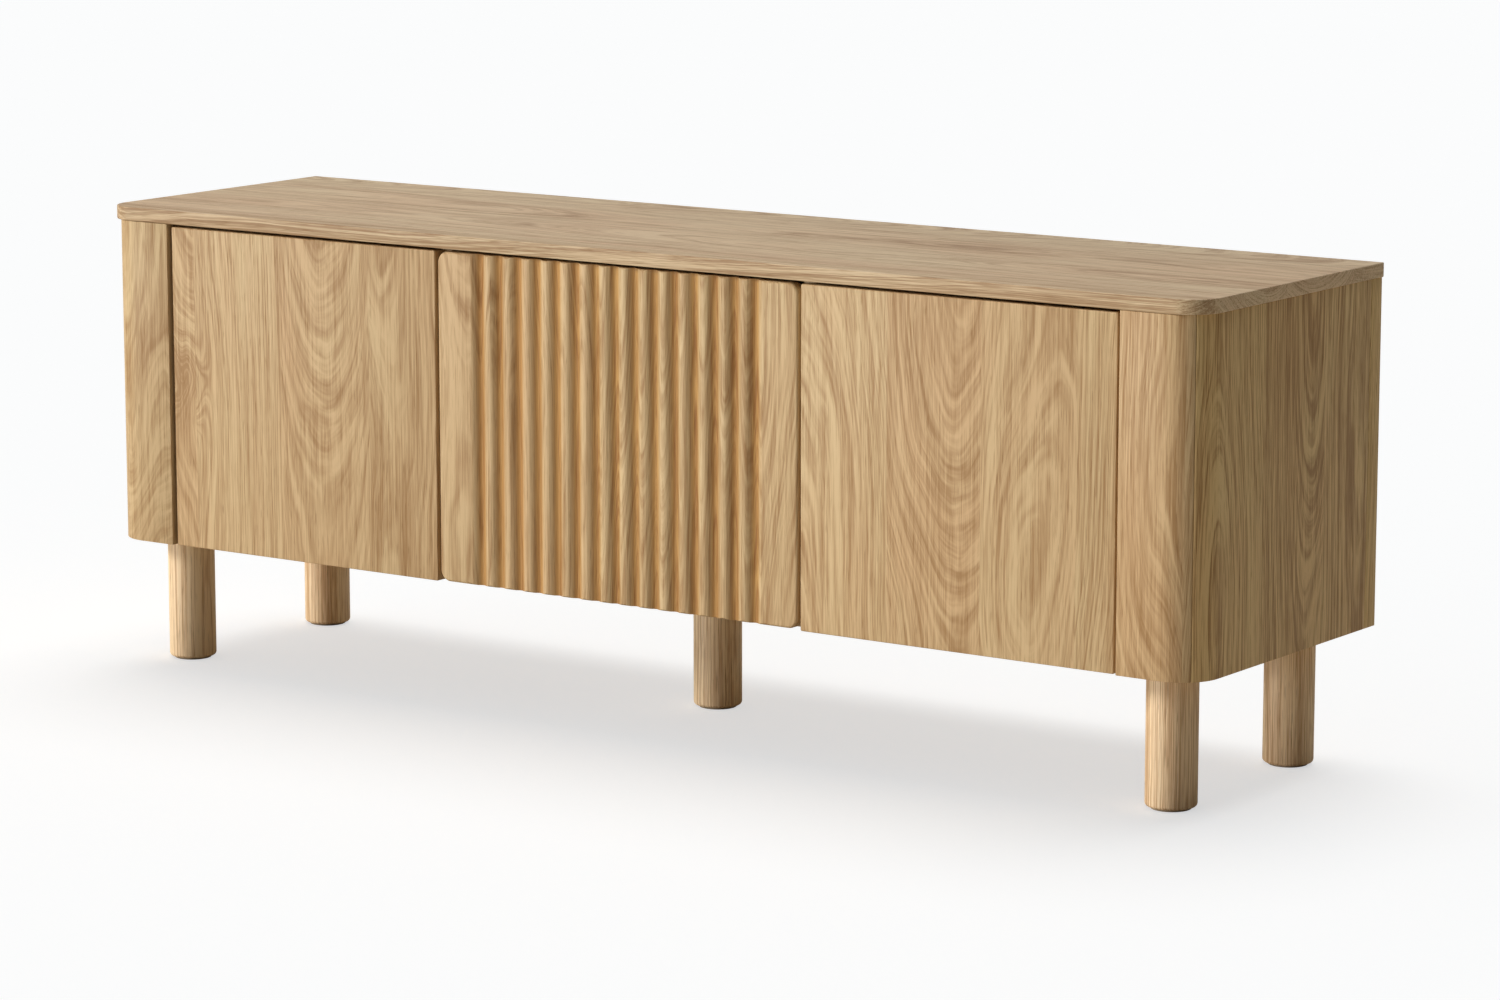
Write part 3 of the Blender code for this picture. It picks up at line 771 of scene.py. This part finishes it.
def model_screw(name, radius=0.0035, head=0.0012):
    """A countersunk screw head with a cross recess, facing +Z, with its seat at z 0."""
    screw = rod(name, (0, 0, head / 2), radius, head, "Z", 32)
    bevel_some(screw, lambda a, b: a.z > head * 0.9 and b.z > head * 0.9, head * 0.45, 3)
    long, short = radius * 1.3, radius * 0.28
    for wide, deep in ((long, short), (short, long)):
        recess = block("recess", (-wide / 2, -deep / 2, head * 0.35), (wide / 2, deep / 2, head * 2))
        cut(screw, recess)
    smooth(screw, 35)
    return screw


def model_shelf_pin(name):
    """A plain pin with a flange, facing +Z, with its seat at z 0."""
    pin = rod(name, (0, 0, 0.0035), 0.0025, 0.007, "Z", 24)
    flange = rod("pin_flange", (0, 0, 0.0006), 0.0042, 0.0012, "Z", 24)
    pin = join(name, [pin, flange])
    round_edges(pin, 0.0003, 2, 50)
    smooth(pin, 35)
    return pin


def model_nail(name):
    """A flat nail head, facing +Z, with its seat at z 0."""
    nail = rod(name, (0, 0, 0.0004), 0.0022, 0.0008, "Z", 20)
    round_edges(nail, 0.0003, 2, 50)
    smooth(nail, 35)
    return nail


def face_towards(obj, axis):
    """Turns a piece that faces +Z towards another axis, with its place in its mesh."""
    turns = {"+X": (0, math.pi / 2, 0), "-X": (0, -math.pi / 2, 0), "+Y": (-math.pi / 2, 0, 0)}
    obj.rotation_euler = turns[axis]
    settle(obj)


def place(master, name, axis, at, body):
    """A steel copy of a master, facing along an axis."""
    piece = master.copy()
    piece.data = master.data.copy()
    piece.name = name
    bpy.context.scene.collection.objects.link(piece)
    face_towards(piece, axis)
    piece.location = at
    settle(piece)
    finish_piece(piece, NICKEL, body, "steel")


def place_hinge_screws(screw, bay, level):
    low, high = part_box(f"hinge_cup_{bay}_{level}")
    x = (low[0] + high[0]) / 2
    for k, z in enumerate((low[2] + 0.007, high[2] - 0.007)):
        place(screw, f"cup_screw_{bay}_{level}_{k}", "+Y", (x, high[1], z), "door_" + bay)
    low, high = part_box(f"hinge_arm_{bay}_{level}")
    plate = 0.002
    x, axis = (high[0] - plate, "-X") if bay == "right" else (low[0] + plate, "+X")
    y = high[1] - 0.024
    for k, z in enumerate((low[2] + 0.006, high[2] - 0.006)):
        place(screw, f"plate_screw_{bay}_{level}_{k}", axis, (x, y, z), "carcass")


def place_shelf_pins(pin, bay):
    low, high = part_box("shelf_" + bay)
    z = low[2] - 0.0043
    for k, (x, axis) in enumerate(((low[0], "+X"), (high[0], "-X"))):
        for j, y in enumerate((low[1] + 0.037, high[1] - 0.037)):
            place(pin, f"shelf_pin_{bay}_{k}{j}", axis, (x, y, z), "carcass")


def place_back_nails(nail, to_row=13):
    low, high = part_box("back_panel")
    inset = 0.012
    for row, z in enumerate((low[2] + 0.010, high[2] - 0.010)):
        for step in range(to_row):
            x = low[0] + inset + (high[0] - low[0] - 2 * inset) * step / (to_row - 1)
            place(nail, f"back_nail_{row * to_row + step}", "+Y", (x, high[1], z), "carcass")


def model_hardware():
    screw, pin = model_screw("screw_master"), model_shelf_pin("pin_master")
    for bay in BAYS:
        for level in LEVELS:
            place_hinge_screws(screw, bay, level)
            finish_node(f"hinge_cup_{bay}_{level}", NICKEL)
            finish_node(f"hinge_arm_{bay}_{level}", NICKEL)
        place_shelf_pins(pin, bay)
        finish_node("latch_housing_" + bay, LATCH_GREY)
        finish_node("latch_plunger_" + bay, LATCH_WHITE)
        finish_node("latch_strike_" + bay, NICKEL)
    for word in LEGS:
        finish_node("leg_stud_" + word, NICKEL)
    nail = model_nail("nail_master")
    place_back_nails(nail)
    for master in (screw, pin, nail):
        bpy.data.objects.remove(master, do_unlink=True)


NICKEL = nickel("nickel_plate", rgb(196, 196, 198), 0.30)
FELT = felted("pressed_felt", rgb(150, 135, 118))
LATCH_GREY = moulded("latch_shell", rgb(150, 150, 150), 0.45)
LATCH_WHITE = moulded("latch_pin_white", rgb(215, 214, 208), 0.40)

model_top()
model_shell()
model_plain_doors()
model_fluted_door()
model_legs()
model_inside()
model_hardware()


# ---------------------------------------------------------------- floor, light and camera

FLOOR_BOUNCE = 0.90
FLOOR_SHARE = 0.64
FLOOR_GLOW = 0.60
SKY = 0.40
SKY_FAR_SIDE = 0.06
WARM_WHITE = (1.0, 0.985, 0.955)
# name, strength, width in degrees, tint and the way it shines
LIGHTS = (
    ("window_light", 2.0, 16, WARM_WHITE, (0.72, 0.58, -0.46)),
    ("low_light", 1.15, 12, WARM_WHITE, (0.62, 0.72, -0.07)),
    ("ceiling_light", 1.25, 42, (1.0, 0.99, 0.97), (0.10, -0.30, -1.0)),
)
CAMERA_PLACE = (3.2330, -4.5383, 1.2194)
CAMERA_TURN = (80.05, 0, 35.04)
CAMERA_LENS = 118.67


def diffuse(tree, colour):
    node = tree.nodes.new("ShaderNodeBsdfDiffuse")
    node.inputs["Color"].default_value = colour
    return node


def lay_floor():
    """A white studio floor: its shadows stay pale, and it throws back less light than it shows."""
    deselect()
    bpy.ops.mesh.primitive_plane_add(size=120, location=(0, 0, 0))
    ground = bpy.context.object
    ground.name = "studio_floor"
    mat, tree, shader, _ = start_material("studio_floor_white")
    tree.nodes.remove(shader)
    seen = diffuse(tree, (0.93, 0.93, 0.93, 1))
    bounce = diffuse(tree, (FLOOR_BOUNCE, FLOOR_BOUNCE * 0.93, FLOOR_BOUNCE * 0.78, 1))
    glow = tree.nodes.new("ShaderNodeEmission")
    glow.inputs["Color"].default_value = (0.98, 1.0, 1.02, 1)
    glow.inputs["Strength"].default_value = FLOOR_GLOW / (1 - FLOOR_SHARE)
    pale, pick_ray = tree.nodes.new("ShaderNodeMixShader"), tree.nodes.new("ShaderNodeMixShader")
    pale.inputs[0].default_value = 1 - FLOOR_SHARE
    ray = tree.nodes.new("ShaderNodeLightPath")
    for link in ((seen.outputs[0], pale.inputs[1]), (glow.outputs[0], pale.inputs[2]),
                 (ray.outputs["Is Camera Ray"], pick_ray.inputs[0]), (bounce.outputs[0], pick_ray.inputs[1]),
                 (pale.outputs[0], pick_ray.inputs[2]),
                 (pick_ray.outputs[0], tree.nodes["Material Output"].inputs["Surface"])):
        tree.links.new(*link)
    ground.data.materials.append(mat)
    return ground


def light_sky():
    """A pale sky, dimmer on the far side."""
    world = bpy.data.worlds.new("studio")
    bpy.context.scene.world = world
    world.use_nodes = True
    tree = world.node_tree
    w = Wires(tree)
    back = tree.nodes["Background"]
    back.inputs["Color"].default_value = (1.0, 0.98, 0.95, 1)
    x, _, _ = w.split(tree.nodes.new("ShaderNodeTexCoord").outputs["Generated"])
    w.put(back.inputs["Strength"], w.band(x, -0.5, 0.75, SKY, SKY_FAR_SIDE))


def keep_off(lamp, piece):
    """Stops a lamp from lighting one piece."""
    flagged = bpy.data.collections.new("out_of_" + lamp.name)
    flagged.objects.link(piece)
    lamp.light_linking.receiver_collection = flagged
    flagged.collection_objects[0].light_linking.link_state = "EXCLUDE"


def light_studio(ground):
    light_sky()
    for name, energy, spread, tint, way in LIGHTS:
        data = bpy.data.lights.new(name, "SUN")
        data.energy = energy
        data.angle = math.radians(spread)
        data.color = tint
        lamp = bpy.data.objects.new(name, data)
        lamp.location = Vector(way) * -4.0
        lamp.rotation_euler = Vector(way).to_track_quat("-Z", "Y").to_euler()
        bpy.context.scene.collection.objects.link(lamp)
        # the window lights the wood but is not mirrored in the lacquer
        lamp.visible_glossy = name != "window_light"
        if name != "ceiling_light":
            # only the ceiling lights the floor, and so throws the soft shadow
            keep_off(lamp, ground)


def stand_camera():
    data = bpy.data.cameras.new("studio_camera")
    data.sensor_width = 36.0
    data.lens = CAMERA_LENS
    data.clip_end = 200
    camera = bpy.data.objects.new("studio_camera", data)
    camera.location = CAMERA_PLACE
    camera.rotation_euler = [math.radians(turn) for turn in CAMERA_TURN]
    bpy.context.scene.collection.objects.link(camera)
    bpy.context.scene.camera = camera
    bpy.context.scene.view_settings.view_transform = "Standard"


light_studio(lay_floor())
stand_camera()
